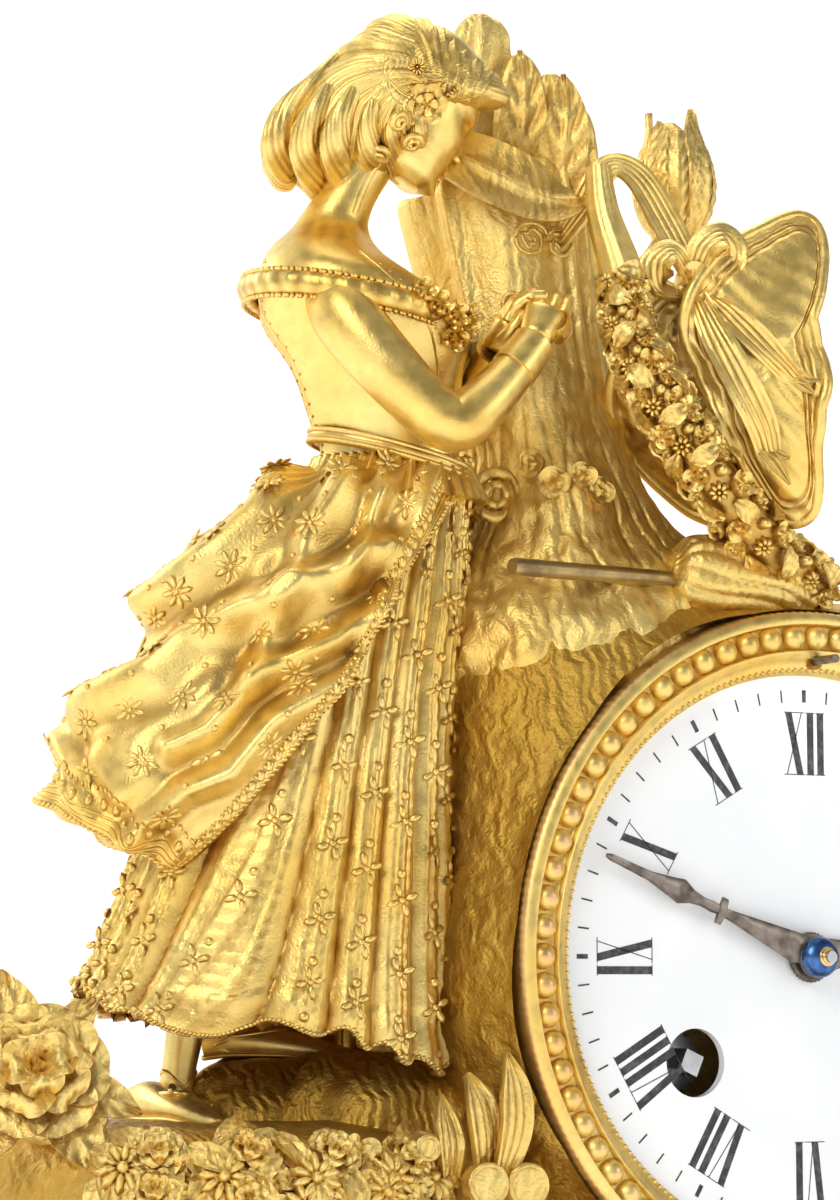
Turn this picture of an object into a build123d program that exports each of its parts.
from build123d import *
import math
import os

# Gilt bronze figural mantel clock, millimetres.
# X runs to the viewer's right, Y away from the viewer, Z up.
# The origin is on the table under the middle of the base.

# Driving sizes of the case
base_length = 280.0
base_depth = 124.0
foot_height = 8.0
plinth_height = 26.0
plinth_wall = 5.0
step_height = 6.0
step_inset = 7.0
plinth_corner = 22.0
dial_height = 112.0
dial_front = 36.0
drum_radius = 49.0
drum_wall = 1.5
drum_front = 31.0
drum_back = 33.0
seat_gap = 0.25
run_gap = 0.05
overrun = 2.0

# Driving sizes of the dial, the bezel and the hands
dial_view_radius = 43.0
dial_radius = 44.1
dial_thickness = 1.4
keyhole_radius = 5.1
keyhole_across = 20.3
keyhole_below = 15.7
bezel_radius = 52.5
bezel_height = 5.0
bead_count = 72
bead_ring_radius = 48.5
bead_width = 3.6
bead_rise = 1.1
bezel_channel = 2.0
bezel_rim = 1.7
minute_reach = 39.8
hour_reach = 27.0
hand_thickness = 0.8
minute_angle = 158.1
hour_angle = 6.0

# Driving sizes of the movement
plate_radius = 41.0
plate_thickness = 2.0
plate_gap = 30.0
plate_front = 27.0
arbor_radius = 0.9
slim_radius = 0.42
pivot_share = 0.6
barrel_radius = 12.5
barrel_height = 16.5
winding_square = 3.2
winding_tip_depth = 1.0
addendum_share = 0.85
dedendum_share = 1.15
tooth_root_share = 0.25
tooth_tip_share = 0.11
leaf_root_share = 0.20
leaf_tip_share = 0.09

# Driving sizes of the sculpture: the figure's unit is the height from ground to waist
figure_unit = 100.0
figure_foot = (-70.0, -10.0, 88.0)
figure_turn = 26.0
trunk_unit = 100.0
trunk_foot = (-34.0, -12.0, 165.0)
trunk_turn = 29.5
trunk_top = trunk_foot[2] + 0.69 * trunk_unit

BASE = (Align.CENTER, Align.CENTER, Align.MIN)

# Depths along the dial's axis, counted towards the viewer from the middle of the case
plate_rear = plate_front - plate_thickness
back_front = plate_rear - plate_gap
back_rear = back_front - plate_thickness
dial_back = dial_front - dial_thickness


def save(name, shape):
    """write one named piece"""
    if isinstance(shape, (list, tuple)):
        shape = Compound(children=[s for part in shape for s in part.solids()])
    export_step(shape, f"parts/{name}.step")
    return shape


def facing(x, z, depth):
    """plane square to the dial's axis; its Z points at the viewer"""
    origin = (x, -depth, dial_height + z)
    return Plane(origin=origin, x_dir=(1, 0, 0), z_dir=(0, -1, 0))


def disc(at, radius, back, front):
    """round bar along the dial's axis"""
    return facing(at[0], at[1], back) * Cylinder(radius, front - back, align=BASE)


def tube(at, outer, inner, back, front):
    """round bar with a bore right through"""
    return disc(at, outer, back, front) - disc(at, inner, back - overrun, front + overrun)


def bar(at, width, height, back, front, turn=0):
    """square or oblong bar along the dial's axis"""
    body = Box(width, height, front - back, align=BASE)
    return facing(at[0], at[1], back) * Rot(0, 0, turn) * body


def polar(radius, degrees, centre=(0, 0)):
    """point on a circle about a centre in the dial's plane"""
    a = math.radians(degrees)
    return (centre[0] + radius * math.cos(a), centre[1] + radius * math.sin(a))


def aim(here, there):
    """direction in degrees from one arbor to the next"""
    return math.degrees(math.atan2(there[1] - here[1], there[0] - here[0]))


def reach(here, there):
    """distance between two arbors"""
    return math.hypot(there[0] - here[0], there[1] - here[1])


def cross_point(p, rp, q, rq, side):
    """place at distance rp from p and rq from q"""
    d = reach(p, q)
    along = (rp * rp - rq * rq + d * d) / (2 * d)
    off = side * math.sqrt(rp * rp - along * along)
    ux, uz = (q[0] - p[0]) / d, (q[1] - p[1]) / d
    return (p[0] + along * ux - off * uz, p[1] + along * uz + off * ux)


def gear(at, module, teeth, back, front, tooth_at, root_share, tip_share):
    """toothed wheel with a tooth pointing at the given angle"""
    pitch = 360 / teeth
    tip = module * (teeth / 2 + addendum_share)
    root = module * (teeth / 2 - dedendum_share)
    outline = []
    for i in range(teeth):
        mid = tooth_at + i * pitch
        outline += [
            polar(root, mid - root_share * pitch),
            polar(tip, mid - tip_share * pitch),
            polar(tip, mid + tip_share * pitch),
            polar(root, mid + root_share * pitch),
        ]
    face = make_face(Polyline(*outline, close=True))
    return facing(at[0], at[1], back) * extrude(face, amount=front - back)


def wheel(at, module, teeth, back, front, tooth_at, crossings=0):
    """clock wheel, with its crossings cut out where it has them"""
    body = gear(at, module, teeth, back, front, tooth_at, tooth_root_share, tooth_tip_share)
    rim = module * (teeth / 2 - dedendum_share) * wheel_rim_share
    hub = rim * wheel_hub_share
    if not crossings:
        return body
    ring = tube(at, rim, hub, back - overrun, front + overrun)
    for i in range(crossings):
        spoke = bar(at, 2 * rim, rim * wheel_spoke_share, back - overrun, front + overrun,
                    tooth_at + i * 180 / crossings)
        ring -= spoke
    return body - ring


def pinion(at, module, leaves, back, front, wheel_at):
    """pinion whose gap faces the wheel that drives it"""
    gap_at = wheel_at + 180 / leaves
    return gear(at, module, leaves, back, front, gap_at, leaf_root_share, leaf_tip_share)


def arbor(at, radius=arbor_radius, start=None):
    """steel arbor with a pivot in each plate"""
    low = back_rear if start is None else start
    body = disc(at, radius, back_front + arbor_shoulder, plate_rear - arbor_shoulder)
    return body + disc(at, radius * pivot_share, low, plate_front)


wheel_rim_share = 0.88
wheel_hub_share = 0.30
wheel_spoke_share = 0.16
arbor_shoulder = 0.3


def oval_ring(centre, right, away, half_right, half_away, sides, lobes=0, depth=0.0, lift=0.0):
    """ring of points about a centre; lobes fold it and lift tilts it"""
    ring = []
    for i in range(sides):
        t = 2 * math.pi * i / sides
        k = 1 + depth * math.cos(lobes * t)
        across = half_right * k * math.cos(t)
        back = half_away * k * math.sin(t)
        ring.append(centre + right * across + away * back + Vector(0, 0, lift * across))
    return ring


def facet_form(rings):
    """closed solid skinned over rings that hold as many points each"""
    faces = []
    for low, high in zip(rings, rings[1:]):
        for i in range(len(low)):
            j = (i + 1) % len(low)
            faces.append(Face(Wire.make_polygon([low[i], low[j], high[j]])))
            faces.append(Face(Wire.make_polygon([low[i], high[j], high[i]])))
    faces.append(Face(Wire.make_polygon(rings[0])))
    faces.append(Face(Wire.make_polygon(rings[-1])))
    form = Solid(Shell(faces))
    return form if form.volume > 0 else form.fix()


def standing_form(rows, foot, unit, turn, sides, lobes=0, depth=0.0):
    """form of level ovals; a row is right, away, up, half widths and tilt, as shares"""
    a = math.radians(turn)
    right = Vector(math.cos(a), -math.sin(a), 0)
    away = Vector(math.sin(a), math.cos(a), 0)
    rings = []
    for row in rows:
        centre = Vector(*foot) + right * row[0] * unit + away * row[1] * unit
        centre += Vector(0, 0, row[2] * unit)
        lift = row[5] if len(row) > 5 else 0
        rings.append(oval_ring(centre, right, away, row[3] * unit, row[4] * unit,
                               sides, lobes, depth, lift))
    return facet_form(rings)


def limb_form(rows, foot, unit, turn, sides, side_way=(0, 0, 1), lobes=0, depth=0.0):
    """form carried along a path; a row is right, away, up and two half widths, as shares"""
    a = math.radians(turn)
    right = Vector(math.cos(a), -math.sin(a), 0)
    away = Vector(math.sin(a), math.cos(a), 0)
    path = [Vector(*foot) + (right * r[0] + away * r[1] + Vector(0, 0, r[2])) * unit for r in rows]
    rings = []
    for i, row in enumerate(rows):
        ahead = (path[min(i + 1, len(path) - 1)] - path[max(i - 1, 0)]).normalized()
        flat = ahead.cross(Vector(*side_way)).normalized()
        deep = ahead.cross(flat).normalized()
        rings.append(oval_ring(path[i], flat, deep, row[3] * unit, row[4] * unit,
                               sides, lobes, depth))
    return facet_form(rings)


def rock_ring(centre, right, away, half_right, half_away, sides, rough_share, phase):
    """rough ring, for ground and rock"""
    ring = []
    for i in range(sides):
        t = 2 * math.pi * i / sides
        k = 1 + rough_share * (math.sin(3 * t + phase) + math.sin(7 * t - 2 * phase)) / 2
        ring.append(centre + right * half_right * k * math.cos(t) + away * half_away * k * math.sin(t))
    return ring


def rock_form(rows, sides, rough_share):
    """heap of rough level rings; a row is x, y, z and two half widths"""
    rings = []
    for i, (x, y, z, half_right, half_away) in enumerate(rows):
        rings.append(rock_ring(Vector(x, y, z), Vector(1, 0, 0), Vector(0, 1, 0),
                               half_right, half_away, sides, rough_share, 0.7 * i))
    return facet_form(rings)


# Base: four scroll feet under a moulded, hollow plinth
plinth_top = foot_height + plinth_height
foot_inset_share = 0.82
foot_radius = 12.0
foot_neck = 8.0


def scroll_foot(x, y):
    """turned scroll foot: a pad, a waist and a spreading top"""
    rise_shares = (0, 0.25, 0.6, 1.0)
    width_shares = (1.0, 1.08, 0.66, 1.15)
    outline = [(0, 0)]
    outline += [(foot_neck * w, foot_height * r) for r, w in zip(rise_shares, width_shares)]
    outline += [(0, foot_height)]
    body = revolve(Plane.XZ * make_face(Polyline(*outline, close=True)), Axis.Z)
    return Pos(x, y, 0) * body


foot_x = base_length / 2 * foot_inset_share
foot_y = base_depth / 2 - foot_radius - plinth_wall
feet = [scroll_foot(sx * foot_x, sy * foot_y) for sx in (-1, 1) for sy in (-1, 1)]
save("scroll_feet", feet)


def plan(length, depth, corner):
    """oblong plan with round corners"""
    return RectangleRounded(length, depth, corner)


def plinth_level(z, inset):
    corner = plinth_corner - inset / 2
    return Pos(0, 0, z) * plan(base_length - 2 * inset, base_depth - 2 * inset, corner)


step_top = foot_height + step_height
fillet_low = plinth_top - step_height / 2
lower_step = extrude(plinth_level(foot_height, 0), amount=step_height)
hollow_moulding = loft([
    plinth_level(step_top, step_inset / 3),
    plinth_level((step_top + fillet_low) / 2, step_inset),
    plinth_level(fillet_low, step_inset * 2 / 3),
], ruled=True)
upper_step = extrude(plinth_level(fillet_low, step_inset / 2), amount=plinth_top - fillet_low)
room_inset = step_inset + plinth_wall
plinth_room = extrude(plinth_level(foot_height - overrun, room_inset),
                      amount=plinth_height - plinth_wall + overrun)
foot_blocks = [Pos(sx * foot_x, sy * foot_y, foot_height) *
               Cylinder(foot_radius, plinth_height - plinth_wall / 2, align=BASE)
               for sx in (-1, 1) for sy in (-1, 1)]
plinth = lower_step + hollow_moulding + upper_step - plinth_room
for block in foot_blocks:
    plinth += block

# Room for the pendulum, through the plinth's top, the ground and the drum
bob_radius = 12.0
bob_thickness = 6.0
bob_share = 0.81
swing_angle = 5.0
pendulum_length = 120.0
pendulum_depth = -10.6
slot_half = 30.0
slot_front = -2.0
slot_back = 24.0
pendulum_slot = Pos(0, (slot_front + slot_back) / 2, 0) * Box(
    2 * slot_half, slot_back - slot_front, dial_height, align=BASE)
plinth -= pendulum_slot
save("base_plinth", plinth)

# Ground: one hollow casting with a hill at each side, and a ledge for the back foot
ground_low = dial_height - 57.0
ground_wall = 4.0
ground_sides = 28
ground_rough_share = 0.05
ground_length_share = 0.94
ground_depth_share = 0.86
half_ground = base_length / 2 * ground_length_share
half_deep = base_depth / 2 * ground_depth_share
hill_x = figure_foot[0] - 18.0
hill_y = figure_foot[1] + 3.0
hill_top = figure_foot[2]
ledge_x = figure_foot[0] + 3.5
ledge_y = figure_foot[1] + 9.0
ledge_top = hill_top + 8.5
right_hill_x = 84.0
right_hill_top = 74.0
hill_half = 42.0


def ground_rows(inset):
    """level rings of the ground's middle, taken in by a wall"""
    low = plinth_top
    return [
        (0, 0, low, half_ground - inset, half_deep - inset),
        (0, 0, (low + ground_low) / 2, half_ground * 0.97 - inset, half_deep * 0.95 - inset),
        (0, 0, ground_low - inset, half_ground * 0.91 - inset, half_deep * 0.86 - inset),
    ]


def hill_rows(x, y, top, half, inset):
    """rings of one hill, from under the ground's top to its own top"""
    low = plinth_top + step_height
    rise_shares = (0, 0.35, 0.62, 0.84, 0.96, 1.0)
    width_shares = (1.12, 1.08, 1.01, 0.95, 0.84, 0.62)
    depth_shares = (1.08, 1.02, 0.98, 0.94, 0.84, 0.62)
    return [(x * (1 - 0.06 * (1 - r)), y, low + (top - low - inset) * r, half * w - inset, half * d - inset)
            for r, w, d in zip(rise_shares, width_shares, depth_shares)]


ledge_rise_shares = (0, 0.35, 0.65, 0.88, 1.0)
ledge_half_shares = (0.62, 0.58, 0.50, 0.40, 0.24)
ledge_deep_shares = (0.46, 0.43, 0.37, 0.29, 0.17)
ledge_rows = [
    (ledge_x, ledge_y, ground_low + (ledge_top - ground_low) * rise, hill_half * wide, hill_half * deep)
    for rise, wide, deep in zip(ledge_rise_shares, ledge_half_shares, ledge_deep_shares)
]
ground = rock_form(ground_rows(0), ground_sides, ground_rough_share)
ground += rock_form(hill_rows(hill_x, hill_y, hill_top, hill_half, 0), ground_sides, ground_rough_share)
ground += rock_form(hill_rows(right_hill_x, hill_y, right_hill_top, hill_half, 0), ground_sides,
                    ground_rough_share)
ground += rock_form(ledge_rows, ground_sides // 2, ground_rough_share)
inner_ground = ground_rows(ground_wall)
inner_ground[0] = (0, 0, plinth_top - overrun) + inner_ground[0][3:]
ground_room = rock_form(inner_ground, ground_sides, ground_rough_share)
ground -= ground_room
ground -= rock_form(hill_rows(hill_x, hill_y, hill_top, hill_half, ground_wall), ground_sides,
                    ground_rough_share)
ground -= rock_form(hill_rows(right_hill_x, hill_y, right_hill_top, hill_half, ground_wall),
                    ground_sides, ground_rough_share)
ground -= pendulum_slot
drum_bed = disc((0, 0), drum_radius + seat_gap, -base_depth, base_depth)
ground -= drum_bed

# Rock casting that wraps the drum and swells to carry the tree stump
shroud_front = drum_front - seat_gap
shroud_back = 33.0
shroud_radius = 55.0
shroud_swell = 13.0
swell_angle = 133.0
swell_width = 16.0
shroud_sides = 40
shroud_depth_shares = (-1.0, -0.62, 0.0, 0.6, 1.0)
shroud_radius_shares = (0.965, 1.03, 1.06, 1.03, 0.965)
shroud_rough_share = 0.02


def shroud_ring(depth_share, radius_share, phase):
    """rough ring about the dial's axis with a swelling at the upper left"""
    ring = []
    depth = depth_share * (shroud_front if depth_share < 0 else shroud_back)
    for i in range(shroud_sides):
        t = 360 * i / shroud_sides
        off = (t - swell_angle + 180) % 360 - 180
        swell = shroud_swell * math.exp(-(off / swell_width) ** 2) * (1 - depth_share ** 4)
        wave = 1 + shroud_rough_share * math.sin(5 * math.radians(t) + phase)
        x, z = polar(shroud_radius * radius_share * wave + swell, t)
        ring.append(Vector(x, depth, dial_height + z))
    return ring


shroud_block = facet_form([shroud_ring(d, r, 0.9 * i) for i, (d, r) in
                           enumerate(zip(shroud_depth_shares, shroud_radius_shares))])
shroud = shroud_block - drum_bed - pendulum_slot
shroud -= Box(base_length, base_depth, ground_low, align=BASE)
ground -= shroud_block
bezel_room = disc((0, 0), bezel_radius + seat_gap, drum_front - seat_gap, base_depth)
ground -= bezel_room
save("terrain_mound", ground)

# Drum: sheet brass tube with a slot in its floor for the pendulum
drum = tube((0, 0), drum_radius, drum_radius - drum_wall, -drum_back, drum_front)
floor_slot = Pos(0, -pendulum_depth, dial_height - drum_radius - overrun) * Box(
    bob_radius * 2, bob_thickness * 1.5, drum_radius / 2, align=BASE)
drum -= floor_slot
save("drum_case", drum)

# Front ring with two straps that run to the rear ring and clamp the drum
ring_inner = 39.6
ring_radius = drum_radius - drum_wall - seat_gap
strap_width = 8.0
strap_thickness = 2.0
strap_screw_radius = 1.5
screw_head_radius = 2.6
screw_head_height = 1.6
front_ring = tube((0, 0), ring_radius, ring_inner, plate_front, dial_back)
strap_angles = (30, 210)
strap_centre = ring_radius - strap_thickness / 2
strap_boss = 3.0
strap_boss_length = 6.0
screw_places = [polar(ring_radius - strap_boss, a) for a in strap_angles]
round_bar = disc((0, 0), ring_radius, -drum_back, dial_back)
regulator_height = 45.0
regulator_radius = 0.65
for angle, at in zip(strap_angles, screw_places):
    strap = bar(polar(strap_centre, angle), strap_thickness, strap_width,
                -drum_back, plate_front + overrun, angle)
    boss = disc(at, strap_boss, -drum_back, -drum_back + strap_boss_length)
    front_ring += (strap & round_bar) + boss
    front_ring -= disc(at, strap_screw_radius + run_gap, -drum_back - overrun,
                       -drum_back + strap_boss_length - overrun / 2)
front_ring -= disc((0, regulator_height), regulator_radius + seat_gap, back_rear, dial_front)
save("dial_ring", front_ring)

# Rear ring, hinged rear door and its pin
rear_ring_thickness = 3.0
rear_opening = 40.0
door_radius = 41.2
door_thickness = 1.2
door_gap = 0.4
knuckle_radius = 2.0
knuckle_length = 6.0
pin_radius = 0.9
knuckle_gap = 0.2
hinge_x = drum_radius + knuckle_radius
hinge_depth = -(drum_back + rear_ring_thickness + knuckle_radius)
rear_ring = tube((0, 0), drum_radius, rear_opening, -drum_back - rear_ring_thickness, -drum_back)


def knuckle(low, high, bore):
    """hinge knuckle about the upright pin"""
    body = Cylinder(knuckle_radius, high - low, align=BASE) - Cylinder(bore, high - low, align=BASE)
    return Pos(hinge_x, -hinge_depth, dial_height + low) * body


fixed_low = -knuckle_length / 2
fixed_high = knuckle_length / 2
fixed_knuckle = knuckle(fixed_low, fixed_high, pin_radius)
lug_width = knuckle_radius * 2
fixed_lug = Pos(hinge_x - knuckle_radius, -hinge_depth - knuckle_radius, dial_height + fixed_low) * Box(
    lug_width, knuckle_radius * 2, knuckle_length, align=(Align.CENTER, Align.MIN, Align.MIN))
pin_bore = Pos(hinge_x, -hinge_depth, dial_height - base_depth / 2) * Cylinder(
    pin_radius, base_depth, align=BASE)
knuckle_room = Pos(hinge_x, -hinge_depth, dial_height - base_depth / 2) * Cylinder(
    knuckle_radius + knuckle_gap, base_depth, align=BASE)
fixed_lug -= pin_bore
rear_ring += fixed_knuckle + fixed_lug
for at in screw_places:
    rear_ring -= disc(at, strap_screw_radius + run_gap, -drum_back - rear_ring_thickness - overrun,
                      -drum_back + overrun)
save("rear_ring", rear_ring)
screws = []
for at in screw_places:
    shank = disc(at, strap_screw_radius, -drum_back - rear_ring_thickness,
                 -drum_back + strap_boss_length - overrun)
    head = disc(at, screw_head_radius, -drum_back - rear_ring_thickness - screw_head_height,
                -drum_back - rear_ring_thickness)
    screws.append(shank + head)
save("strap_screws", screws)

door_front = -(drum_back + rear_ring_thickness + door_gap)
door = disc((0, 0), door_radius, door_front - door_thickness, door_front)
rim = tube((0, 0), rear_opening - door_gap, rear_opening - door_gap - door_thickness,
           door_front - door_thickness / 2, door_front + overrun)
door += rim
door_arm_height = 3 * knuckle_length
door_arm = Pos(hinge_x, -door_front, dial_height - door_arm_height / 2) * Box(
    hinge_x - rear_opening + overrun, door_thickness, door_arm_height,
    align=(Align.MAX, Align.MIN, Align.MIN))
door += door_arm
clear_low = fixed_low - knuckle_gap
clear_high = fixed_high + knuckle_gap
lug_sweep = math.hypot(lug_width, knuckle_radius) + knuckle_gap
door -= Pos(hinge_x, -hinge_depth, dial_height + clear_low) * Cylinder(
    lug_sweep, clear_high - clear_low, align=BASE)
door_bore = pin_radius + run_gap
for low, high in ((-door_arm_height / 2, clear_low), (clear_high, door_arm_height / 2)):
    door += knuckle(low, high, door_bore)
door -= Pos(hinge_x, -hinge_depth, dial_height - base_depth / 2) * Cylinder(
    door_bore, base_depth, align=BASE)
knob_radius = 2.2
knob_length = 3.0
knob_at = (-rear_opening * 0.86, 0)
door += disc(knob_at, knob_radius, door_front - door_thickness - knob_length, door_front - door_thickness)
save("rear_door", door)
pin_length = door_arm_height + knuckle_radius
hinge_pin = Pos(hinge_x, -hinge_depth, dial_height - pin_length / 2) * Cylinder(
    pin_radius, pin_length, align=BASE)
save("door_hinge_pin", hinge_pin)

# Bezel: rim, beaded channel and an inner slope, with a hole for the regulating arbor
bezel_back = drum_front
bezel_front = dial_front + bezel_height
channel_floor = bezel_front - bezel_channel
bead_out = bead_ring_radius + bead_width / 2 + 0.1 * bezel_rim
bead_in = bead_ring_radius - bead_width / 2 - 0.1 * bezel_rim
slope_top = bezel_front - bezel_channel / 4
lip_front = dial_front + bezel_height / 5
dial_seat = dial_radius + seat_gap / 2
seat_radius = ring_radius + seat_gap
bezel_profile = [
    (seat_radius, bezel_back),
    (bezel_radius, bezel_back),
    (bezel_radius, bezel_front - bezel_channel / 2),
    (bezel_radius - bezel_rim / 3, bezel_front),
    (bead_out, bezel_front),
    (bead_out, channel_floor),
    (bead_in, channel_floor),
    (bead_in, slope_top),
    (dial_view_radius, lip_front),
    (dial_view_radius, dial_front),
    (dial_seat, dial_front),
    (dial_seat, dial_back),
    (seat_radius, dial_back),
]
bezel_face = make_face(Plane.XZ * Polyline(*bezel_profile, close=True))
bezel = revolve(bezel_face, Axis.Z)
bezel = Plane(origin=(0, 0, dial_height), x_dir=(1, 0, 0), z_dir=(0, -1, 0)) * bezel
bead_face = facing(0, 0, channel_floor) * Pos(bead_ring_radius, 0, 0) * RegularPolygon(bead_width / 2, 6)
bead = extrude(bead_face, amount=bezel_channel * 0.4)
bead += extrude(facing(0, 0, channel_floor + bezel_channel * 0.4) *
                Pos(bead_ring_radius, 0, 0) * RegularPolygon(bead_width / 2, 6),
                amount=bead_rise, taper=40)
dial_axis = Axis((0, 0, dial_height), (0, -1, 0))
beads = [bead.rotate(dial_axis, i * 360 / bead_count) for i in range(bead_count)]
bezel = bezel.fuse(*beads)
bezel -= disc((0, regulator_height), regulator_radius + seat_gap, dial_back, bezel_front)
save("bezel", bezel)

# Dial: enamelled disc with the centre hole and two keyholes
centre_hole_radius = 3.4
dial = disc((0, 0), dial_radius, dial_back, dial_front)
dial -= disc((0, 0), centre_hole_radius, dial_back - overrun, dial_front + overrun)
going_key = (keyhole_across, -keyhole_below)
strike_key = (-keyhole_across, -keyhole_below)
for at in (going_key, strike_key):
    dial -= disc(at, keyhole_radius, dial_back - overrun, dial_front + overrun)
dial -= disc((0, regulator_height), regulator_radius + seat_gap, dial_back - overrun, dial_front)
save("dial", dial)

# Places of the arbors, each worked out from the wheels that mesh there
great_module = 0.5
great_teeth = 60
mid_module = 0.4
pinion_leaves = 10
train_teeth = 50
count_teeth = 52
count_leaves = 8
centre_module = 0.28
fast_teeth = 72
fast_leaves = 6
third_module = 0.24
pin_teeth = 56
pin_module = 0.35
pin_leaves = 7
warn_module = 0.30
warn_teeth = 48
hand_module = 0.30
cannon_leaves = 12
minute_teeth = 36
hour_leaves = 10
hour_teeth = 40


def span(module, teeth, leaves):
    """distance between two arbors in mesh"""
    return module * (teeth + leaves) / 2


centre_at = (0, 0)
great_span = span(great_module, great_teeth, pinion_leaves)
centre_span = span(mid_module, train_teeth, pinion_leaves)
mid_at = cross_point(going_key, great_span, centre_at, centre_span, -1)
third_span = span(centre_module, fast_teeth, fast_leaves)
third_at = polar(third_span, 66)
escape_span = span(third_module, fast_teeth, fast_leaves)
escape_at = (0, third_at[1] + math.sqrt(escape_span ** 2 - third_at[0] ** 2))
escape_radius = 7.2
pallet_rise = 10.8
pallet_at = (0, escape_at[1] + pallet_rise)
count_at = polar(great_span, 100, strike_key)
count_span = span(mid_module, count_teeth, count_leaves)
pin_at = polar(count_span, 60, count_at)
warn_span = span(pin_module, pin_teeth, pin_leaves)
warn_at = polar(warn_span, 80, pin_at)
fly_span = span(warn_module, warn_teeth, fast_leaves)
fly_at = polar(fly_span, 150, warn_at)
motion_span = span(hand_module, minute_teeth, cannon_leaves)
hour_module = 2 * motion_span / (hour_teeth + hour_leaves)
motion_at = polar(motion_span, 215)
hammer_at = (-31.0, 19.0)

# Movement plates with a pillar at four places
plate_ear = 7.0
pillar_radius = 2.4
pillar_tenon = 1.4
pillar_places = [(-34.5, 13.5), (34.5, 13.5), (-10.0, -36.5), (10.0, -36.5)]
winding_pivot = 1.7
winding_body = 2.5


def plate(back, front):
    """round plate with an ear for the regulating arbor"""
    body = disc((0, 0), plate_radius, back, front)
    ear_top = regulator_height + plate_ear / 4
    body += bar((0, ear_top / 2), plate_ear, ear_top, back, front)
    body -= disc((0, regulator_height), regulator_radius + run_gap, back - overrun, front + overrun)
    for at in pillar_places:
        body -= disc(at, pillar_tenon, back - overrun, front + overrun)
    for at in (mid_at, count_at, pin_at, warn_at, hammer_at, pallet_at):
        body -= disc(at, arbor_radius * pivot_share + run_gap, back - overrun, front + overrun)
    for at in (third_at, escape_at, fly_at):
        body -= disc(at, slim_radius * pivot_share + run_gap, back - overrun, front + overrun)
    for at in (going_key, strike_key):
        body -= disc(at, winding_pivot + run_gap, back - overrun, front + overrun)
    body -= disc(centre_at, arbor_radius + run_gap, back - overrun, front + overrun)
    return body


motion_stud = 0.8
click_stud = 0.9
click_pivots = [polar(9.2, 20, going_key), polar(9.2, 160, strike_key)]
front_plate = plate(plate_rear, plate_front)
motion_post = disc(motion_at, motion_stud, plate_front, dial_back - overrun)
front_plate += motion_post
for at in click_pivots:
    front_plate += disc(at, click_stud, plate_front, plate_front + 2.4)
save("front_plate", front_plate)
back_plate = plate(back_rear, back_front)
bell_post_at = (0, -22.0)
save("back_plate", back_plate)
pillars = []
for at in pillar_places:
    middle = disc(at, pillar_radius, back_front, plate_rear)
    ends = disc(at, pillar_tenon, back_rear, plate_front)
    waist = tube(at, pillar_radius + overrun, pillar_radius * 0.75,
                 back_front + plate_gap * 0.3, back_front + plate_gap * 0.7)
    pillars.append(middle + ends - waist)
save("plate_pillars", pillars)

# Barrels and the arbors that wind them, with ratchets in front of the plate
great_back = 4.5
great_front = 6.0
ratchet_teeth = 18
ratchet_radius = 5.6
ratchet_depth = 1.1
ratchet_back = plate_front + 0.4
ratchet_front = ratchet_back + 1.3
ring_groove = 0.6


def barrel(at, mesh_at):
    """spring barrel: great wheel, drum and a snapped-in cover"""
    tooth_at = aim(at, mesh_at)
    body = wheel(at, great_module, great_teeth, great_back, great_front, tooth_at)
    body += disc(at, barrel_radius, great_front, great_front + barrel_height)
    cover = great_front + barrel_height
    body -= tube(at, barrel_radius - ring_groove, barrel_radius - 2 * ring_groove,
                 cover - ring_groove, cover)
    return body - disc(at, winding_body + run_gap, great_back - overrun, cover + overrun)


def winding_arbor(at, hand):
    """winding arbor with its square end and ratchet"""
    tip = dial_front - winding_tip_depth
    body = disc(at, winding_body, great_back - overrun, great_front + barrel_height + overrun / 2)
    body += disc(at, winding_pivot, back_rear, ratchet_front)
    body += bar(at, winding_square, winding_square, ratchet_front, tip, 24 * hand)
    outline = []
    for i in range(ratchet_teeth):
        start = i * 360 / ratchet_teeth
        outline.append(polar(ratchet_radius, hand * start))
        outline.append(polar(ratchet_radius - ratchet_depth, hand * (start + 2)))
    face = make_face(Polyline(*outline, close=True))
    return body + facing(at[0], at[1], ratchet_back) * extrude(face, amount=ratchet_front - ratchet_back)


def click(pivot_at, ratchet_at):
    """click lever on its stud, resting just off the ratchet's tips"""
    toward = aim(pivot_at, ratchet_at)
    length = reach(pivot_at, ratchet_at) - ratchet_radius - seat_gap
    low, high = ratchet_back, ratchet_front
    nose = facing(pivot_at[0], pivot_at[1], low) * Rot(0, 0, toward) * Box(
        length, click_stud, high - low, align=(Align.MIN, Align.CENTER, Align.MIN))
    tail = facing(pivot_at[0], pivot_at[1], low) * Rot(0, 0, toward + 180) * Box(
        length * 1.2, click_stud * 0.8, high - low, align=(Align.MIN, Align.CENTER, Align.MIN))
    body = disc(pivot_at, click_stud * 2, low, high) + nose + tail
    return body - disc(pivot_at, click_stud + run_gap, low - overrun, high + overrun)


save("going_barrel", barrel(going_key, mid_at))
save("strike_barrel", barrel(strike_key, count_at))
save("going_winding_arbor", winding_arbor(going_key, 1))
save("strike_winding_arbor", winding_arbor(strike_key, -1))
save("going_click", click(click_pivots[0], going_key))
save("strike_click", click(click_pivots[1], strike_key))

# Going train: intermediate, centre, third and escape arbors
wheel_thickness = 1.0
slow_layer = 1.8
fast_layer = -1.5
high_layer = 19.0
leaf_over = 0.8


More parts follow.
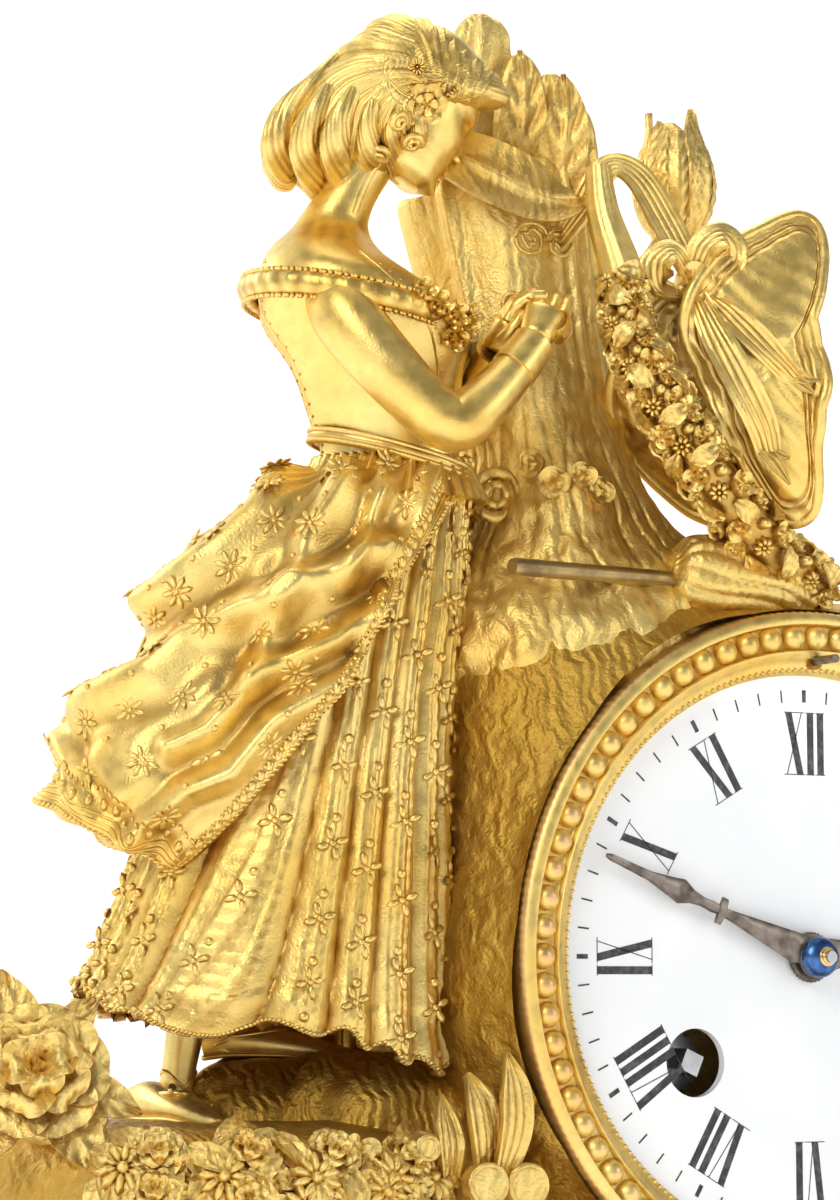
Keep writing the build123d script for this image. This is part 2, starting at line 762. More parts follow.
def train_arbor(at, leaves_at, wheel_at, crossings=4, radius=arbor_radius, start=None):
    """arbor with a driven pinion and a wheel; each is module, teeth, layer and the mate's place"""
    body = arbor(at, radius, start)
    module, leaves, low, mate = leaves_at
    mate_angle = aim(at, mate)
    body += pinion(at, module, leaves, low - leaf_over, low + wheel_thickness + leaf_over, mate_angle)
    module, teeth, low, mate = wheel_at
    body += wheel(at, module, teeth, low, low + wheel_thickness, aim(at, mate), crossings)
    return body


great_layer = (great_back + great_front) / 2 - wheel_thickness / 2
save("going_intermediate", train_arbor(
    mid_at, (great_module, pinion_leaves, great_layer, going_key),
    (mid_module, train_teeth, slow_layer, centre_at)))
cannon_top = dial_front + 2.9
boss_front = cannon_top + hand_thickness + 2.8
centre_body = train_arbor(
    centre_at, (mid_module, pinion_leaves, slow_layer, mid_at),
    (centre_module, fast_teeth, fast_layer, third_at))
centre_body += disc(centre_at, arbor_radius, back_rear, boss_front + 0.2)
save("centre_arbor", centre_body)
save("third_arbor", train_arbor(
    third_at, (centre_module, fast_leaves, fast_layer, centre_at),
    (third_module, fast_teeth, high_layer, escape_at), radius=slim_radius))

escape_teeth = 36
escape_layer = 9.5


def escape_wheel():
    """escape wheel with pointed teeth on its pinion arbor"""
    body = arbor(escape_at, slim_radius)
    body += pinion(escape_at, third_module, fast_leaves, high_layer - leaf_over,
                   high_layer + wheel_thickness + leaf_over, aim(escape_at, third_at))
    outline = []
    for i in range(escape_teeth):
        start = i * 360 / escape_teeth
        outline.append(polar(escape_radius, start))
        outline.append(polar(escape_radius * 0.86, start + 3))
        outline.append(polar(escape_radius * 0.86, start + 6))
    face = make_face(Polyline(*outline, close=True))
    rim = facing(escape_at[0], escape_at[1], escape_layer) * extrude(face, amount=wheel_thickness)
    ring = tube(escape_at, escape_radius * 0.74, escape_radius * 0.3,
                escape_layer - overrun, escape_layer + wheel_thickness + overrun)
    for turn in (45, 135):
        ring -= bar(escape_at, 2 * escape_radius, arbor_radius, escape_layer - overrun,
                    escape_layer + wheel_thickness + overrun, turn)
    return body + (rim - ring)


save("escape_arbor", escape_wheel())

# Anchor with its arbor and the crutch behind the back plate
crutch_depth = back_rear - 1.2
crutch_thickness = 0.8
crutch_length = 30.0
crutch_width = 2.0
rod_width = 2.2
rod_thickness = 1.4
fork_gap = 0.15
fork_wall = 1.0
pallet_half_angle = 42.0
anchor_radius = escape_radius + 0.9
anchor_thickness = 1.8


def anchor():
    """recoil anchor that stands just clear of the wheel over the whole swing"""
    low = escape_layer - (anchor_thickness - wheel_thickness) / 2
    high = low + anchor_thickness
    body = arbor(pallet_at, start=crutch_depth - crutch_thickness)
    arch = tube(escape_at, anchor_radius + 1.8, anchor_radius, low, high)
    wedge = [(0, 0), polar(3 * anchor_radius, 90 - pallet_half_angle),
             polar(3 * anchor_radius, 90 + pallet_half_angle)]
    sector = facing(escape_at[0], escape_at[1], low - overrun) * extrude(
        make_face(Polyline(*wedge, close=True)), amount=anchor_thickness + 2 * overrun)
    body += arch & sector
    body += disc(pallet_at, 2 * arbor_radius, low, high)
    strip_low = escape_at[1] + anchor_radius + 0.9
    body += bar((0, (strip_low + pallet_at[1]) / 2), 2 * arbor_radius,
                pallet_at[1] - strip_low, low, high)
    body += bar((0, pallet_at[1] - crutch_length / 2), crutch_width, crutch_length,
                crutch_depth - crutch_thickness, crutch_depth)
    body += disc(pallet_at, crutch_width, crutch_depth - crutch_thickness, crutch_depth)
    fork_out = rod_width / 2 + fork_gap + fork_wall
    fork_at = pallet_at[1] - crutch_length
    body += bar((0, fork_at), 2 * fork_out, crutch_width, crutch_depth - crutch_thickness, crutch_depth)
    for side in (-1, 1):
        body += bar((side * (fork_out - fork_wall / 2), fork_at), fork_wall, crutch_width,
                    pendulum_depth - rod_thickness, crutch_depth)
    return body


save("pallet_arbor", anchor())

# Back cock with the suspension spring, and the pendulum that hangs on the anchor's axis
cock_width = 16.0
cock_thickness = 1.6
cock_back = pendulum_depth - 1.6
cock_front = pendulum_depth + 2.4
spring_width = 3.0
spring_thickness = 0.3
cock_low = pallet_at[1] + 2.8
foot_height_cock = 5.0
cock = bar((0, cock_low + foot_height_cock / 2), cock_width, foot_height_cock, cock_back, back_rear)
cock -= bar((0, cock_low + foot_height_cock / 2), cock_width - 4 * cock_thickness,
            foot_height_cock + overrun, cock_front, back_rear + overrun)
spring_low = pallet_at[1] + 0.3
cock += bar((0, (spring_low + cock_low + 1) / 2), spring_width, cock_low + 1 - spring_low,
            pendulum_depth - spring_thickness / 2, pendulum_depth + spring_thickness / 2)
save("back_cock", cock)
rod_top = pallet_at[1]
bob_at = rod_top - pendulum_length
hook_height = 4.0
pendulum = bar((0, rod_top - hook_height / 2), spring_width, hook_height,
               pendulum_depth - rod_thickness / 2, pendulum_depth + rod_thickness / 2)
pendulum += bar((0, (rod_top + bob_at) / 2), rod_width, rod_top - bob_at,
                pendulum_depth - rod_thickness / 2, pendulum_depth + rod_thickness / 2)
bob_profile = [(0, -0.5), (bob_share, -0.34), (1.0, 0), (bob_share, 0.34), (0, 0.5)]
bob_line = Polyline(*[(bob_radius * r, bob_thickness * t) for r, t in bob_profile], close=True)
bob = revolve(Plane.XZ * make_face(bob_line), Axis.Z)
pendulum += facing(0, bob_at, pendulum_depth) * bob
save("pendulum", pendulum)

# Motion work and the hands
cannon_radius = 1.45
cannon_bore = arbor_radius + run_gap
hour_pipe_bore = cannon_radius + run_gap
hour_pipe = 2.4
motion_layer = plate_front + 1.2
hour_layer = motion_layer + 2.2
hour_top = dial_front + 1.0
cannon = pinion(centre_at, hand_module, cannon_leaves, plate_front + 0.4, motion_layer + 1.4,
                aim(centre_at, motion_at))
cannon += disc(centre_at, cannon_radius, plate_front + 0.4, cannon_top)
cannon -= disc(centre_at, cannon_bore, plate_front - overrun, cannon_top + overrun)
save("cannon_pinion", cannon)
minute_tooth = aim(motion_at, centre_at)
minute_wheel = wheel(motion_at, hand_module, minute_teeth, motion_layer, motion_layer + wheel_thickness,
                     minute_tooth)
hour_leaf_front = hour_layer + wheel_thickness + 0.6
minute_wheel += pinion(motion_at, hour_module, hour_leaves, motion_layer + wheel_thickness,
                       hour_leaf_front, minute_tooth)
minute_wheel -= disc(motion_at, motion_stud + run_gap, plate_front - overrun, dial_back)
save("minute_wheel", minute_wheel)
hour_wheel = wheel(centre_at, hour_module, hour_teeth, hour_layer, hour_layer + wheel_thickness,
                   aim(centre_at, motion_at))
hour_wheel += disc(centre_at, hour_pipe, hour_layer, hour_top + hand_thickness / 2)
hour_wheel -= disc(centre_at, hour_pipe_bore, hour_layer - overrun, hour_top + overrun)
save("hour_wheel", hour_wheel)


def hand_blade(length, half, shares):
    """flat tapering blade with a cross bar and a lozenge before the tip"""
    upper = [(length * s, half * w) for s, w in shares]
    lower = [(x, -y) for x, y in reversed(upper) if y > 0]
    return make_face(Polyline(*upper, *lower, close=True))


minute_shares = [(0.02, 1.0), (0.10, 1.35), (0.42, 0.45), (0.445, 0.45), (0.447, 1.15), (0.472, 1.15),
                 (0.474, 0.40), (0.60, 0.30), (0.65, 0.85), (0.80, 0.28), (1.0, 0)]
hour_shares = [(0.03, 1.0), (0.14, 1.45), (0.44, 0.5), (0.47, 0.5), (0.475, 1.3), (0.51, 1.3),
               (0.515, 0.5), (0.66, 0.55), (0.76, 1.6), (0.88, 0.5), (1.0, 0)]
blade_half = 1.7
hub_radius = 3.7
minute_low = cannon_top - hand_thickness
minute_hand = facing(0, 0, minute_low) * Rot(0, 0, minute_angle) * extrude(
    hand_blade(minute_reach, blade_half, minute_shares), amount=hand_thickness)
minute_hand += disc(centre_at, hub_radius * 0.85, minute_low, cannon_top)
minute_hand -= disc(centre_at, cannon_radius, minute_low - overrun, cannon_top + overrun)
save("minute_hand", minute_hand)
hour_hand = facing(0, 0, hour_top - hand_thickness / 2) * Rot(0, 0, hour_angle) * extrude(
    hand_blade(hour_reach, blade_half, hour_shares), amount=hand_thickness)
hour_hand += disc(centre_at, hub_radius, hour_top - hand_thickness / 2, hour_top + hand_thickness / 2)
hour_hand -= disc(centre_at, hour_pipe, hour_top - overrun, hour_top + overrun)
save("hour_hand", hour_hand)
dome_profile = [(cannon_bore, 0), (3.1, 0), (3.1, 0.6), (2.4, 1.8), (cannon_bore, 2.4)]
collet = revolve(Plane.XZ * make_face(Polyline(*dome_profile, close=True)), Axis.Z)
save("hand_collet", facing(0, 0, cannon_top) * collet)

# Regulating arbor, from behind the back plate out through the bezel's slope
regulator_out = 8.7
regulator_tip = dial_front + regulator_out
save("regulator_arbor", disc((0, regulator_height), regulator_radius, back_rear - overrun, regulator_tip))

# Strike train: count wheel arbor, pin wheel, warning wheel and fly
count_rear = back_rear - 2.2
warning_radius = 0.75
strike_mid = train_arbor(
    count_at, (great_module, pinion_leaves, great_layer, strike_key),
    (mid_module, count_teeth, slow_layer, pin_at), start=count_rear)
save("strike_intermediate", strike_mid)
pin_count = 12
pin_ring = 6.4
strike_pin_radius = 0.4
strike_pin_length = 2.4
pin_body = train_arbor(
    pin_at, (mid_module, count_leaves, slow_layer, count_at),
    (pin_module, pin_teeth, fast_layer, warn_at), crossings=0)
for i in range(pin_count):
    pin_body += disc(polar(pin_ring, i * 360 / pin_count, pin_at), strike_pin_radius,
                     fast_layer - strike_pin_length, fast_layer)
save("pin_wheel_arbor", pin_body)
save("warning_arbor", train_arbor(
    warn_at, (pin_module, pin_leaves, fast_layer, pin_at),
    (warn_module, warn_teeth, high_layer, fly_at), radius=warning_radius))
fly_half = 5.6
fly_blade = 0.5
fly_low = 8.0
fly_high = 16.0
fly_body = arbor(fly_at, slim_radius)
fly_body += pinion(fly_at, warn_module, fast_leaves, high_layer - leaf_over,
                   high_layer + wheel_thickness + leaf_over, aim(fly_at, warn_at))
fly_body += bar(fly_at, 2 * fly_half, fly_blade, fly_low, fly_high, 35)
save("fly", fly_body)

count_wheel_radius = 10.5
count_notch_depth = 1.2
count_blows = 78


def count_wheel():
    """count wheel: a notch after each hour's blows round the rim"""
    outline = []
    blow = 360 / count_blows
    turn = 0
    for hour in range(1, 13):
        outline.append(polar(count_wheel_radius, turn))
        steps = max(1, hour // 2)
        for s in range(1, steps + 1):
            outline.append(polar(count_wheel_radius, turn + (hour - 0.5) * blow * s / steps))
        turn += hour * blow
        outline.append(polar(count_wheel_radius - count_notch_depth, turn - 0.45 * blow))
        outline.append(polar(count_wheel_radius - count_notch_depth, turn - 0.05 * blow))
    face = make_face(Polyline(*outline, close=True))
    body = facing(count_at[0], count_at[1], count_rear) * extrude(face, amount=wheel_thickness)
    return body - disc(count_at, arbor_radius * pivot_share, count_rear - overrun, back_rear + overrun)


save("count_wheel", count_wheel())

# Hammer, bell and bell stand behind the back plate
bell_radius = 33.0
bell_wall = 1.6
bell_mouth = -13.2
bell_back = -29.0
bell_at = (8.5, -5.0)
hammer_tail_width = 1.2
hammer_arm_width = 1.4
hammer_boss = 1.6
hammer_arm_rear = back_rear - 2.6
hammer_head = 3.0
hammer_gap = 0.5
hammer_side = 138.0
bell_profile = [
    (bell_radius, 0), (bell_radius * 0.96, 0.30), (bell_radius * 0.80, 0.78), (bell_radius * 0.40, 1.0),
    (2.1, 1.0),
]
bell_deep = bell_mouth - bell_back
outer = [(r, -bell_deep * d) for r, d in bell_profile]
inner = [(r - bell_wall * 0.7, -bell_deep * d + bell_wall * d) for r, d in reversed(bell_profile[:-1])]
inner = [(bell_profile[-1][0], -bell_deep + bell_wall)] + inner
bell_face = make_face(Polyline(*outer, *inner, close=True))
bell = facing(bell_at[0], bell_at[1], bell_mouth) * revolve(Plane.XZ * bell_face, Axis.Z)
save("bell", bell)
stand_radius = 2.0
stand_foot = 3.4
nut_radius = 3.2
stand_at = bell_at
stand = disc(stand_at, stand_radius, bell_back - 1.8, back_rear)
stand += disc(stand_at, nut_radius, bell_back + bell_wall, bell_back + bell_wall + 4)
stand += disc(stand_at, nut_radius, bell_back - 1.8, bell_back)
save("bell_stand", stand)


def hammer():
    """hammer arbor with its tail at the pin wheel and the head beside the bell's mouth"""
    low = fast_layer - strike_pin_length
    body = arbor(hammer_at, start=hammer_arm_rear)
    toward = aim(hammer_at, pin_at)
    gap = reach(hammer_at, pin_at) - pin_ring - strike_pin_radius - seat_gap
    tail = facing(hammer_at[0], hammer_at[1], low) * Rot(0, 0, toward) * Box(
        gap, hammer_tail_width, wheel_thickness, align=(Align.MIN, Align.CENTER, Align.MIN))
    body += tail
    head_at = polar(bell_radius + hammer_head + hammer_gap, hammer_side, bell_at)
    arm_front = hammer_arm_rear + hammer_arm_width
    arm = facing(hammer_at[0], hammer_at[1], hammer_arm_rear) * Rot(0, 0, aim(hammer_at, head_at)) * Box(
        reach(hammer_at, head_at), hammer_arm_width, hammer_arm_width,
        align=(Align.MIN, Align.CENTER, Align.MIN))
    body += disc(hammer_at, hammer_boss, hammer_arm_rear, arm_front) + arm
    body += disc(head_at, hammer_head, bell_mouth - hammer_head, arm_front)
    return body


save("hammer", hammer())

# Tree stump on the rock, with leaves on top
trunk_shares = [
    (0.03, 0.00, -0.10, 0.30, 0.23), (0.03, 0.00, -0.01, 0.27, 0.20), (0.03, 0.00, 0.07, 0.23, 0.15),
    (0.035, 0.00, 0.15, 0.17, 0.125), (0.015, 0.00, 0.25, 0.135, 0.11), (-0.008, 0.00, 0.38, 0.13, 0.105),
    (-0.033, 0.00, 0.51, 0.14, 0.105), (-0.055, 0.00, 0.66, 0.15, 0.105, 0.15),
    (-0.058, 0.00, 0.69, 0.135, 0.09, 0.30),
]
trunk_sides = 14
trunk = standing_form(trunk_shares, trunk_foot, trunk_unit, trunk_turn, trunk_sides, 4, 0.05)
trunk -= shroud_block
trunk -= drum_bed
trunk -= bezel_room
leaf_tables_shares = [
    [(-0.10, 0.02, 0.62, 0.050, 0.025), (-0.10, 0.03, 0.78, 0.062, 0.030), (-0.085, 0.03, 0.90, 0.052, 0.028),
     (-0.080, 0.03, 0.962, 0.020, 0.015)],
    [(-0.03, 0.03, 0.62, 0.055, 0.025), (-0.02, 0.03, 0.78, 0.060, 0.030), (-0.020, 0.03, 0.86, 0.035, 0.020),
     (-0.020, 0.03, 0.90, 0.012, 0.010)],
    [(0.05, 0.00, 0.62, 0.060, 0.030), (0.045, 0.00, 0.76, 0.055, 0.028), (0.035, 0.00, 0.83, 0.032, 0.018),
     (0.030, 0.00, 0.86, 0.012, 0.010)],
]
leaf_sides = 8
leaves = [standing_form(t, trunk_foot, trunk_unit, trunk_turn, leaf_sides) for t in leaf_tables_shares]
leaf_group = leaves[0] + leaves[1] + leaves[2] - trunk
save("trunk_leaves", leaf_group)

bud_shares = [
    (0.085, 0.03, 0.50, 0.018, 0.018), (0.15, 0.09, 0.545, 0.018, 0.018), (0.205, 0.13, 0.60, 0.020, 0.020),
    (0.235, 0.14, 0.65, 0.045, 0.042), (0.235, 0.14, 0.72, 0.062, 0.055), (0.225, 0.14, 0.79, 0.040, 0.036),
    (0.222, 0.14, 0.82, 0.014, 0.014),
]
bud = limb_form(bud_shares, trunk_foot, trunk_unit, trunk_turn, 10, (0, 1, 0.2), 5, 0.08)
bud -= trunk
save("flower_bud", bud)
ribbon_shares = [
    (0.03, -0.040, 0.55, 0.004, 0.020), (0.085, -0.085, 0.60, 0.004, 0.022), (0.125, -0.095, 0.69, 0.004, 0.022),
    (0.175, -0.100, 0.675, 0.004, 0.022), (0.215, -0.110, 0.58, 0.004, 0.022),
    (0.240, -0.115, 0.53, 0.030, 0.030), (0.250, -0.115, 0.49, 0.004, 0.020),
]
ribbon = limb_form(ribbon_shares, trunk_foot, trunk_unit, trunk_turn, 6, (0.3, 1, 0))
ribbon -= trunk
ribbon -= leaf_group
hat_centre_share = (0.355, -0.10, 0.375)
hat_fold_share = (0.73, 0.10, -0.67)
hat_half_long = 17.0
hat_half_wide = 30.0
hat_bend_radius = 26.0
hat_thickness = 1.4
hat_sides = 24
crown_height = 4.0
crown_share = 0.45


def stump_axes():
    """directions to the right and away in the stump's own turn"""
    a = math.radians(trunk_turn)
    return Vector(math.cos(a), -math.sin(a), 0), Vector(math.sin(a), math.cos(a), 0)


def hat_ring(share, inset, flat=False):
    """oval ring bent back round the ribbon's line and raised to a low crown"""
    right, away = stump_axes()
    place, line = hat_centre_share, hat_fold_share
    centre = Vector(*trunk_foot) + (right * place[0] + away * place[1] + Vector(0, 0, place[2])) * trunk_unit
    fold = (right * line[0] + away * line[1] + Vector(0, 0, line[2])).normalized()
    face = (fold * away.dot(fold) - away).normalized()
    across = face.cross(fold)
    radius = hat_bend_radius + crown_height * math.exp(-(share / crown_share) ** 2) - inset
    ring = []
    for i in range(hat_sides):
        t = 2 * math.pi * i / hat_sides
        along = fold * hat_half_long * share * math.cos(t)
        sideways = hat_half_wide * share * math.sin(t)
        bend = sideways / hat_bend_radius
        if flat:
            ring.append(centre + along + across * sideways + face * (radius - hat_bend_radius))
        else:
            ring.append(centre + along + across * radius * math.sin(bend)
                        + face * (radius * math.cos(bend) - hat_bend_radius))
    return ring


def straw_hat():
    """soft hat folded over its ribbon, open underneath"""
    shares = (0.10, 0.35, 0.60, 0.82, 1.0)
    outer = [hat_ring(share, 0, share == shares[0]) for share in shares]
    inner = [hat_ring(share, hat_thickness, share == shares[0]) for share in reversed(shares)]
    return facet_form(outer + inner)


hat = straw_hat()
hat -= trunk
garland_shares = [
    (0.114, -0.145, 0.66, 0.024, 0.024), (0.140, -0.150, 0.56, 0.030, 0.030), (0.166, -0.165, 0.47, 0.034, 0.034),
    (0.204, -0.180, 0.33, 0.040, 0.040), (0.285, -0.150, 0.19, 0.044, 0.044), (0.366, -0.060, 0.085, 0.046, 0.046),
    (0.45, 0.03, 0.05, 0.040, 0.040),
]
garland = limb_form(garland_shares, trunk_foot, trunk_unit, trunk_turn, 10, (0, 1, 0), 5, 0.10)
garland -= trunk
garland -= shroud_block
garland -= bezel_room
hat -= garland
ribbon -= garland
ribbon -= hat
save("garland", garland)
save("straw_hat", hat)
save("ribbon_bow", ribbon)
bundle_shares = [
    (0.205, -0.075, 0.05, 0.028, 0.028), (0.24, -0.06, 0.05, 0.045, 0.045), (0.30, -0.035, 0.04, 0.055, 0.050),
    (0.36, -0.015, 0.03, 0.058, 0.050), (0.41, 0.005, 0.02, 0.030, 0.030),
]
bundle = limb_form(bundle_shares, trunk_foot, trunk_unit, trunk_turn, 14, (0, 0, 1), 7, 0.08)
bundle -= trunk
bundle -= garland
bundle -= shroud_block
bundle -= bezel_room
rod_radius = 1.3
rod_start = Vector(-52.6, -38.0, 168.7)
rod_end = Vector(-17.5, -30.5, 169.3)
rod_line = Line(rod_start, rod_end)
rod_along = (rod_end - rod_start).normalized()
rod = extrude(Plane(origin=rod_start, z_dir=rod_along) * Circle(rod_radius),
              amount=(rod_end - rod_start).length)
bundle -= rod
save("fluted_bundle", bundle)
save("brass_rod", rod - trunk)

# Flowers at the left end and along the front of the hill
flower_sides = 20
petal_count = 5


def bloom(x, y, z, radius, normal, petals):
    """open flower: a lobed dish with a raised middle"""
    centre = Vector(x, y, z)
    n = Vector(*normal).normalized()
    plane = Plane(origin=centre, z_dir=n)
    flat, deep = plane.x_dir, plane.y_dir
    levels = [(-0.45, 0.45, 0.0), (0.0, 0.92, 0.14), (0.22, 0.90, 0.14), (0.10, 0.40, 0.05), (0.34, 0.22, 0)]
    rings = [oval_ring(centre + n * radius * up, flat, deep, radius * wide, radius * wide,
                       petals * 4, petals, deepness) for up, wide, deepness in levels]
    return facet_form(rings)


rose_radius = 9.5
rose_at = Vector(-120.5, -25.0, 95.5)
rose = bloom(rose_at.X, rose_at.Y, rose_at.Z, rose_radius, (-0.2, -1, 0.25), petal_count)
rose_leaf_shares = [
    (0, 0, -1.75, 0.35, 0.30), (0, 0.05, -1.0, 0.80, 0.55), (0.1, 0.1, 0.0, 0.72, 0.50), (-0.3, 0.25, 0.9, 0.34, 0.25),
    (-0.45, 0.3, 1.45, 0.08, 0.08),
]
rose_leaf = standing_form(rose_leaf_shares, (rose_at.X, rose_at.Y + rose_radius * 0.8, rose_at.Z),
                          rose_radius, 0, 10, 5, 0.12)
rose_cluster = rose + rose_leaf - ground
save("rose_cluster", rose_cluster)
daisy_radius = 4.2
daisy_places = [(-108.0, -41.0, 84.0), (-99.0, -45.0, 83.0), (-89.5, -46.0, 83.5), (-80.0, -45.0, 83.0),
                (-71.0, -42.0, 83.0)]
daisies = []
for x, y, z in daisy_places:
    stalk = standing_form([(0, 0.9, -1.9, 0.8, 0.9), (0, 0.5, 0.2, 0.5, 0.6)], (x, y, z), daisy_radius, 0, 8)
    daisies.append((bloom(x, y, z, daisy_radius, (0, -1, 0.9), 6) + stalk) - ground)
save("ground_flowers", daisies)

# Figure: shoes, skirt, drape, body, arms and head, each seated on the one before
skirt_shares = [
    (-0.075, 0.00, 0.13, 0.282, 0.215, -0.16), (-0.06, 0.00, 0.24, 0.262, 0.205, -0.06),
    (-0.035, 0.00, 0.40, 0.235, 0.195), (-0.005, 0.00, 0.58, 0.205, 0.175), (0.03, 0.00, 0.78, 0.185, 0.150),
    (0.085, 0.00, 0.93, 0.135, 0.110), (0.106, 0.00, 0.99, 0.115, 0.085),
]
skirt_sides = 48
skirt_pleats = 16
skirt = standing_form(skirt_shares, figure_foot, figure_unit, figure_turn, skirt_sides, skirt_pleats, 0.035)
hem_room_share = 0.86
skirt_room_shares = [
    (-0.075, 0, 0.05, 0.25, 0.185, -0.16), (-0.06, 0, 0.24, 0.225, 0.170, -0.06), (-0.035, 0, 0.40, 0.200, 0.160),
    (0.0, 0, 0.62, 0.150, 0.130),
]
skirt_room = standing_form(skirt_room_shares, figure_foot, figure_unit, figure_turn, 16)
skirt_shell = skirt - skirt_room
skirt_shell -= ground
save("skirt", skirt_shell)
save("rock_shroud", shroud - skirt)
trunk -= skirt
drape_shares = [
    (-0.290, 0.00, 0.335, 0.06, 0.06), (-0.230, 0.00, 0.36, 0.17, 0.15), (-0.175, 0.00, 0.42, 0.250, 0.205),
    (-0.130, 0.00, 0.50, 0.288, 0.232), (-0.068, 0.00, 0.62, 0.287, 0.235), (-0.026, 0.00, 0.70, 0.256, 0.218),
    (-0.012, 0.00, 0.78, 0.258, 0.205), (0.018, 0.00, 0.855, 0.232, 0.178), (0.056, 0.00, 0.935, 0.172, 0.140),
    (0.106, 0.00, 0.99, 0.122, 0.092),
]
drape_sides = 32
drape = standing_form(drape_shares, figure_foot, figure_unit, figure_turn, drape_sides, 8, 0.03)


def slanted_cut(right_high, up_high, right_low, up_low):
    """block that fills the side of the figure to the right of a slanting line"""
    a = math.radians(figure_turn)
    right = Vector(math.cos(a), -math.sin(a), 0)
    high = Vector(*figure_foot) + (right * right_high + Vector(0, 0, up_high)) * figure_unit
    low = Vector(*figure_foot) + (right * right_low + Vector(0, 0, up_low)) * figure_unit
    along = (low - high).normalized()
    plane = Plane(origin=(high + low) / 2, x_dir=along,
                  z_dir=along.cross(Vector(math.sin(a), math.cos(a), 0)))
    size = 2 * figure_unit
    return plane * Box(size, size, size, align=BASE)


drape -= slanted_cut(0.255, 0.97, -0.17, 0.34)
drape -= skirt
drape -= shroud_block
save("overskirt", drape)
trunk -= drape
torso_shares = [
    (0.106, 0.00, 0.99, 0.110, 0.082), (0.097, 0.00, 1.05, 0.115, 0.090), (0.083, 0.00, 1.13, 0.130, 0.115),
    (0.060, 0.00, 1.20, 0.155, 0.140), (0.030, 0.00, 1.255, 0.128, 0.155), (0.005, 0.00, 1.305, 0.095, 0.120),
    (0.008, 0.00, 1.345, 0.068, 0.070), (0.017, 0.00, 1.375, 0.050, 0.052),
]
torso_sides = 20
torso = standing_form(torso_shares, figure_foot, figure_unit, figure_turn, torso_sides)
lace_shares = [(0.048, 0.00, 1.205, 0.176, 0.168, -0.17), (0.045, 0.00, 1.25, 0.172, 0.172, -0.17)]
lace = standing_form(lace_shares, figure_foot, figure_unit, figure_turn, torso_sides * 2, torso_sides, 0.02)
bodice = torso + lace
save("torso", bodice)
arm_sides = 10
right_arm_shares = [
    (0.00, -0.110, 1.235, 0.040, 0.042), (0.035, -0.135, 1.18, 0.052, 0.055), (0.085, -0.150, 1.12, 0.050, 0.052),
    (0.145, -0.155, 1.055, 0.045, 0.048), (0.195, -0.152, 1.02, 0.043, 0.045), (0.240, -0.135, 1.055, 0.038, 0.040),
    (0.290, -0.105, 1.115, 0.032, 0.033), (0.322, -0.080, 1.165, 0.026, 0.028), (0.335, -0.060, 1.20, 0.034, 0.030),
    (0.350, -0.040, 1.245, 0.030, 0.026), (0.356, -0.030, 1.265, 0.014, 0.012),
]
right_arm = limb_form(right_arm_shares, figure_foot, figure_unit, figure_turn, arm_sides, (0, 1, 0.1))
right_arm -= bodice
left_arm_shares = [
    (0.02, 0.110, 1.23, 0.040, 0.042), (0.07, 0.130, 1.17, 0.050, 0.052), (0.14, 0.120, 1.10, 0.046, 0.048),
    (0.20, 0.090, 1.07, 0.042, 0.044), (0.245, 0.045, 1.11, 0.034, 0.036), (0.268, 0.00, 1.16, 0.028, 0.030),
    (0.285, -0.020, 1.21, 0.032, 0.030), (0.300, -0.025, 1.24, 0.016, 0.016),
]
left_arm = limb_form(left_arm_shares, figure_foot, figure_unit, figure_turn, arm_sides, (0, 1, 0.1))
left_arm -= bodice
left_arm -= right_arm
save("tree_trunk", trunk - left_arm - right_arm)
save("right_arm", right_arm)
save("left_arm", left_arm)
neck_shares = [
    (0.020, 0.00, 1.355, 0.050, 0.050), (0.040, 0.00, 1.41, 0.047, 0.048), (0.075, 0.00, 1.47, 0.050, 0.050),
    (0.095, 0.00, 1.50, 0.050, 0.050),
]
head_place_share = (0.105, 1.535)
head_tilt = 24.0
head_sides = 20
nose_spread = 14.0
# Rows of the head from chin to crown: level, forward place, half length, half width and the profile's own rise
head_rows_shares = [
    (-0.138, 0.048, 0.022, 0.026, 0.000), (-0.122, 0.040, 0.048, 0.046, 0.004), (-0.098, 0.030, 0.058, 0.056, 0.000),
    (-0.084, 0.026, 0.063, 0.060, 0.006), (-0.072, 0.024, 0.066, 0.063, 0.003), (-0.054, 0.016, 0.074, 0.066, 0.004),
    (-0.046, 0.014, 0.076, 0.068, 0.024), (-0.028, 0.008, 0.082, 0.071, 0.017), (0.000, 0.000, 0.086, 0.074, 0.006),
    (0.014, -0.004, 0.094, 0.077, 0.003), (0.050, -0.008, 0.099, 0.079, 0.000), (0.088, -0.012, 0.088, 0.072, 0.000),
    (0.112, -0.014, 0.062, 0.054, 0.000), (0.124, -0.016, 0.024, 0.020, 0.000),
]


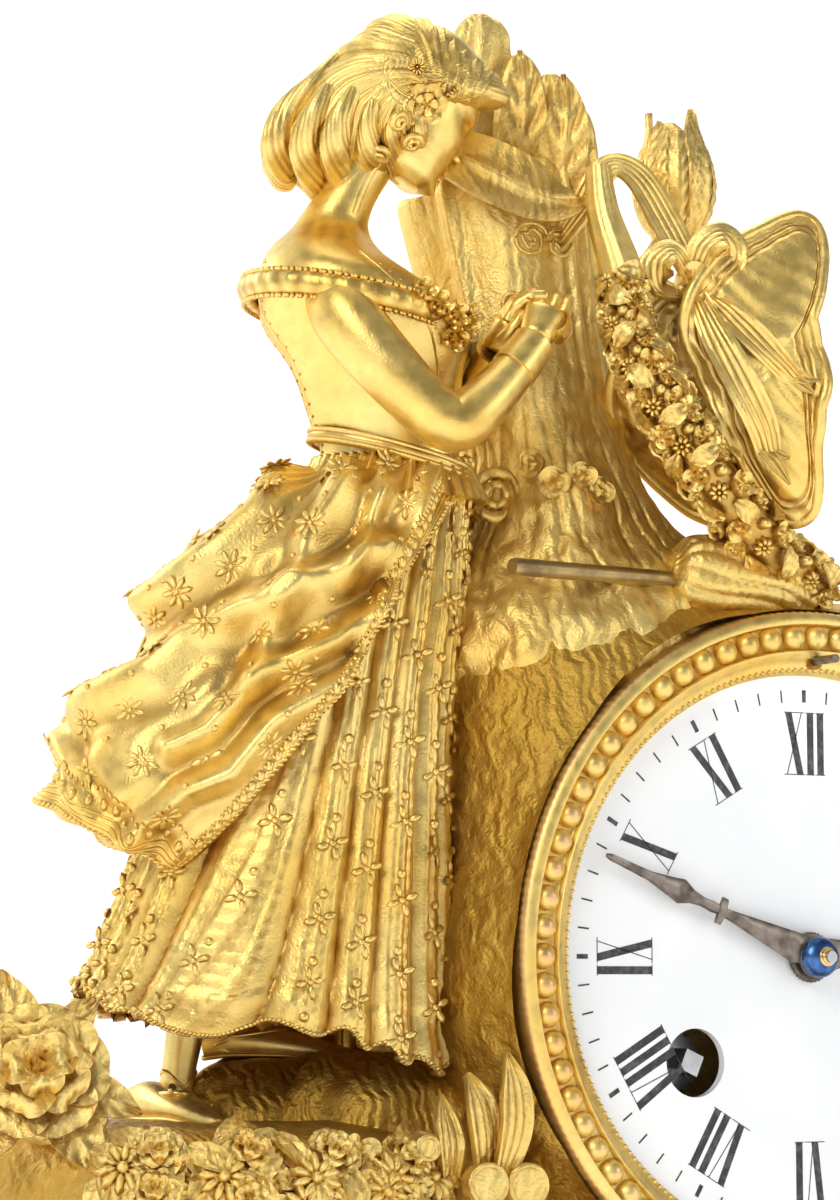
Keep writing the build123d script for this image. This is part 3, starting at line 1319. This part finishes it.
def calm_head():
    """head on its own tilted axis; the profile rises only in a narrow strip at the front"""
    a = math.radians(figure_turn)
    tilt = math.radians(head_tilt)
    right = Vector(math.cos(a), -math.sin(a), 0)
    away = Vector(math.sin(a), math.cos(a), 0)
    up = right * math.sin(tilt) + Vector(0, 0, math.cos(tilt))
    ahead = right * math.cos(tilt) - Vector(0, 0, math.sin(tilt))
    centre = Vector(*figure_foot) + (right * head_place_share[0] + Vector(0, 0, head_place_share[1])) * figure_unit
    rings = []
    for level, place, half_long, half_wide, rise in head_rows_shares:
        ring = []
        for i in range(head_sides):
            t = 360 * i / head_sides
            off = (t + 180) % 360 - 180
            long = half_long + rise * math.exp(-(off / nose_spread) ** 2)
            forward = place + long * math.cos(math.radians(t))
            sideways = half_wide * math.sin(math.radians(t))
            ring.append(centre + (up * level + ahead * forward + away * sideways) * figure_unit)
        rings.append(ring)
    return facet_form(rings)


hair_shares = [
    (-0.092, 0.00, 1.455, 0.015, 0.015), (-0.07, 0.00, 1.48, 0.050, 0.060), (-0.02, 0.00, 1.50, 0.085, 0.086),
    (0.04, 0.00, 1.525, 0.105, 0.110), (0.11, 0.00, 1.55, 0.115, 0.130), (0.18, 0.00, 1.58, 0.105, 0.092),
    (0.24, 0.00, 1.58, 0.075, 0.055), (0.28, 0.00, 1.555, 0.030, 0.015),
]
head = standing_form(neck_shares, figure_foot, figure_unit, figure_turn, head_sides)
head += calm_head()
hair = limb_form(hair_shares, figure_foot, figure_unit, figure_turn, 16, (0, 0, 1), 8, 0.03)
head = head + hair
head -= torso
save("head", head)
near_shoe_shares = [
    (-0.275, 0.045, 0.018, 0.020, 0.026), (-0.245, 0.00, 0.022, 0.030, 0.030), (-0.195, -0.07, 0.016, 0.034, 0.020),
    (-0.155, -0.13, 0.002, 0.018, 0.012), (-0.145, -0.15, 0.000, 0.006, 0.006),
]
far_shoe_shares = [
    (-0.175, 0.085, 0.105, 0.020, 0.024), (-0.13, 0.083, 0.115, 0.030, 0.030), (-0.06, 0.078, 0.108, 0.034, 0.022),
    (0.01, 0.072, 0.098, 0.020, 0.014), (0.05, 0.07, 0.096, 0.006, 0.006),
]
ankle_shares = [(-0.215, 0.01, 0.02, 0.028, 0.030), (-0.205, 0.00, 0.09, 0.024, 0.026), (-0.18, 0.0, 0.24, 0.036, 0.038)]
far_ankle_shares = [(-0.14, 0.083, 0.10, 0.026, 0.028), (-0.13, 0.08, 0.16, 0.026, 0.028),
                    (-0.11, 0.07, 0.26, 0.036, 0.038)]
shoes = []
for shoe_rows, leg_rows in ((near_shoe_shares, ankle_shares), (far_shoe_shares, far_ankle_shares)):
    shoe = limb_form(shoe_rows, figure_foot, figure_unit, figure_turn, 10)
    leg = standing_form(leg_rows, figure_foot, figure_unit, figure_turn, 10)
    shoes.append(shoe + leg - ground)
save("shoes", shoes)
